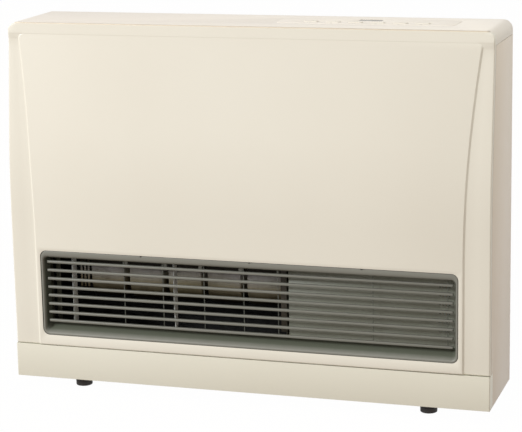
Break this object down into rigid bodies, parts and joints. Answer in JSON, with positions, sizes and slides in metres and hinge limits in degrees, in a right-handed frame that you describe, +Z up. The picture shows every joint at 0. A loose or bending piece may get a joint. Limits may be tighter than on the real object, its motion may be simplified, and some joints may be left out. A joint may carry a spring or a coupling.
{
  "type": "wall mounted gas heater",
  "caption": "Fan assisted gas convector: cream pressed steel cabinet with a leaning front, a wide grey louvred outlet low down, top controls, rear filters and a balanced flue.",
  "frame": {"origin": "centre of the bounding box at floor level, under the feet", "axes": "+Z up, -Y towards the room (the louvred front), +Y to the wall, +X to the right seen from the room"},
  "size_m": [0.93, 0.2505, 0.7108],
  "materials": {
    "cream_enamel": "satin enamel",
    "cover_cream": "satin enamel",
    "zinc_sheet": "galvanised",
    "louvre_grey": "satin grey enamel",
    "aluminised_steel": "aluminised, heat tinted",
    "fan_aluminium": "mill",
    "black_rubber": "matt",
    "motor_black": "semi gloss",
    "fascia_plastic": "fine texture",
    "button_grey": "satin",
    "smoked_window": "polished",
    "board_green": "solder mask",
    "brass": "machined",
    "valve_casting": "as cast",
    "filter_plastic": "moulded",
    "white_ceramic": "glazed",
    "zinc_fixings": "zinc plated",
    "hose_black": "moulded",
    "transformer_iron": "laminated"
  },
  "bodies": {
    "cabinet": {"front_panel": "cream_enamel", "kick_plate": "cream_enamel", "side_panel_left": "cream_enamel", "side_panel_right": "cream_enamel", "top_cover": "cover_cream", "back_panel": "zinc_sheet", "base_tray": "zinc_sheet", "foot_nuts": "zinc_fixings", "control_fascia": "fascia_plastic", "display_window": "smoked_window", "control_board": "board_green", "grille_bezel": "louvre_grey", "grille_bars": "louvre_grey", "grille_vanes": "louvre_grey", "blank_plate": "louvre_grey", "outlet_duct": "zinc_sheet", "air_box_left_wall": "zinc_sheet", "divider_wall": "zinc_sheet", "heat_shield": "zinc_sheet", "rotor_bearing": "black_rubber", "fan_scroll": "zinc_sheet", "fan_motor": "motor_black", "heat_exchanger": "aluminised_steel", "combustion_chamber": "aluminised_steel", "burner_box": "aluminised_steel", "overheat_switch": "white_ceramic", "exhaust_duct": "aluminised_steel", "exhaust_fan_housing": "zinc_sheet", "exhaust_fan_motor": "motor_black", "exhaust_pipe": "aluminised_steel", "flue_collar": "zinc_sheet", "intake_box": "zinc_sheet", "intake_hose": "hose_black", "gas_inlet": "brass", "gas_valve": "valve_casting", "gas_manifold": "brass", "spark_igniter": "white_ceramic", "flame_rod": "white_ceramic", "board_plate": "zinc_sheet", "main_board": "board_green", "transformer": "transformer_iron", "rear_guard": "zinc_sheet", "wall_brackets": "zinc_fixings", "cord_grommet": "hose_black", "casing_screws": "zinc_fixings"},
    "power_button": {"power_button": "button_grey"},
    "mode_button": {"mode_button": "button_grey"},
    "timer_button": {"timer_button": "button_grey"},
    "lock_button": {"lock_button": "button_grey"},
    "cooler_button": {"cooler_button": "button_grey"},
    "warmer_button": {"warmer_button": "button_grey"},
    "foot_front_left": {"foot_front_left": "black_rubber"},
    "foot_front_right": {"foot_front_right": "black_rubber"},
    "foot_rear_left": {"foot_rear_left": "black_rubber"},
    "foot_rear_right": {"foot_rear_right": "black_rubber"},
    "filter_left": {"filter_left": "filter_plastic"},
    "filter_right": {"filter_right": "filter_plastic"},
    "crossflow_rotor": {"crossflow_rotor": "fan_aluminium"},
    "exhaust_fan_rotor": {"exhaust_fan_rotor": "fan_aluminium"}
  },
  "joints": [
    {"name": "power_press", "type": "slide", "parent": "cabinet", "child": "power_button", "axis": [0, 0, -1], "range_m": [0, 0.0012], "stiffness_N_per_m": 250, "springref_m": -0.001},
    {"name": "mode_press", "type": "slide", "parent": "cabinet", "child": "mode_button", "axis": [0, 0, -1], "range_m": [0, 0.0012], "stiffness_N_per_m": 250, "springref_m": -0.001},
    {"name": "timer_press", "type": "slide", "parent": "cabinet", "child": "timer_button", "axis": [0, 0, -1], "range_m": [0, 0.0012], "stiffness_N_per_m": 250, "springref_m": -0.001},
    {"name": "lock_press", "type": "slide", "parent": "cabinet", "child": "lock_button", "axis": [0, 0, -1], "range_m": [0, 0.0012], "stiffness_N_per_m": 250, "springref_m": -0.001},
    {"name": "cooler_press", "type": "slide", "parent": "cabinet", "child": "cooler_button", "axis": [0, 0, -1], "range_m": [0, 0.0012], "stiffness_N_per_m": 250, "springref_m": -0.001},
    {"name": "warmer_press", "type": "slide", "parent": "cabinet", "child": "warmer_button", "axis": [0, 0, -1], "range_m": [0, 0.0012], "stiffness_N_per_m": 250, "springref_m": -0.001},
    {"name": "filter_left_slide", "type": "slide", "parent": "cabinet", "child": "filter_left", "axis": [-1, 0, 0], "range_m": [0, 0.22]},
    {"name": "filter_right_slide", "type": "slide", "parent": "cabinet", "child": "filter_right", "axis": [1, 0, 0], "range_m": [0, 0.22]},
    {"name": "crossflow_spin", "type": "hinge", "parent": "cabinet", "child": "crossflow_rotor", "pos_m": [0, 0.009, 0.584], "axis": [1, 0, 0], "continuous": true},
    {"name": "exhaust_fan_spin", "type": "hinge", "parent": "cabinet", "child": "exhaust_fan_rotor", "pos_m": [0.25, -0.024, 0.262], "axis": [0, 1, 0], "continuous": true},
    {"name": "foot_front_left_height", "type": "slide", "parent": "cabinet", "child": "foot_front_left", "axis": [0, 0, -1], "range_m": [0, 0.012]},
    {"name": "foot_front_right_height", "type": "slide", "parent": "cabinet", "child": "foot_front_right", "axis": [0, 0, -1], "range_m": [0, 0.012]},
    {"name": "foot_rear_left_height", "type": "slide", "parent": "cabinet", "child": "foot_rear_left", "axis": [0, 0, -1], "range_m": [0, 0.012]},
    {"name": "foot_rear_right_height", "type": "slide", "parent": "cabinet", "child": "foot_rear_right", "axis": [0, 0, -1], "range_m": [0, 0.012]}
  ]
}
